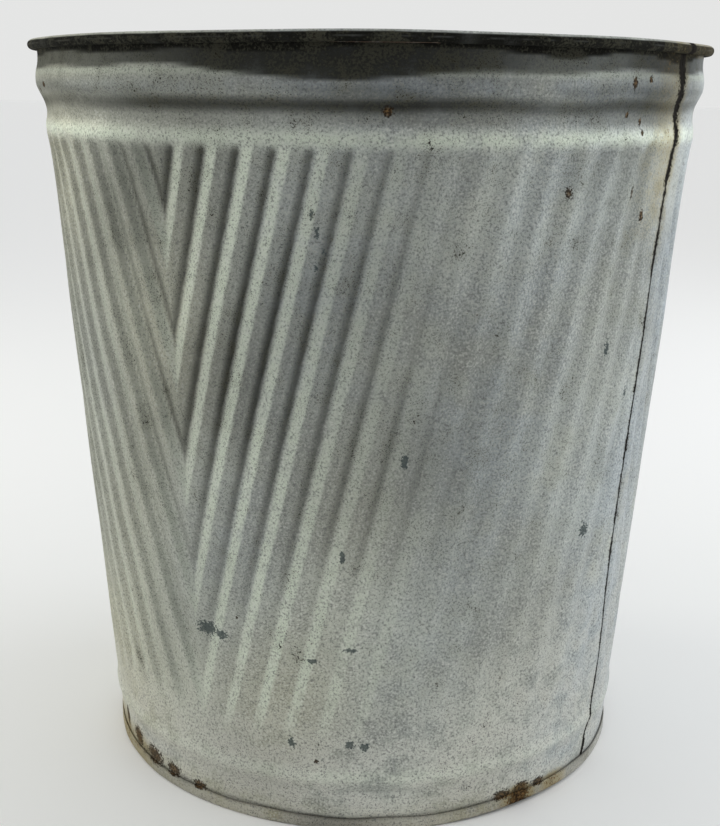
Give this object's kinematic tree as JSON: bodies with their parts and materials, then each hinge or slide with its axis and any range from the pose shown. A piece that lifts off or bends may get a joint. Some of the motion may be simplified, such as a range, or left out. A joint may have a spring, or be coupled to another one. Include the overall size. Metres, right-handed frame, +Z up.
{
  "type": "waste bin",
  "caption": "Open tapered waste bin of galvanised sheet steel with slanted chevron ribs, a beaded neck, a wired rolled lip and a hemmed bottom pan.",
  "frame": {"origin": "on the floor at the bin's axis, the centre of the base hem's resting ring", "axes": "+Z up along the bin's axis; -Y towards the front, the side with a chevron line a little left of the middle; +X to the right seen from the front"},
  "size_m": [0.307, 0.307, 0.3299],
  "materials": {
    "front_zinc": "dull weathered galvanised zinc",
    "rear_zinc": "dull weathered galvanised zinc",
    "pan_zinc": "dull weathered galvanised zinc with rust in the hem",
    "wire_steel": "plain drawn steel wire"
  },
  "bodies": {
    "root": {"front_sheet": "front_zinc", "rear_sheet": "rear_zinc", "bottom_pan": "pan_zinc", "rim_wire": "wire_steel"}
  },
  "joints": []
}
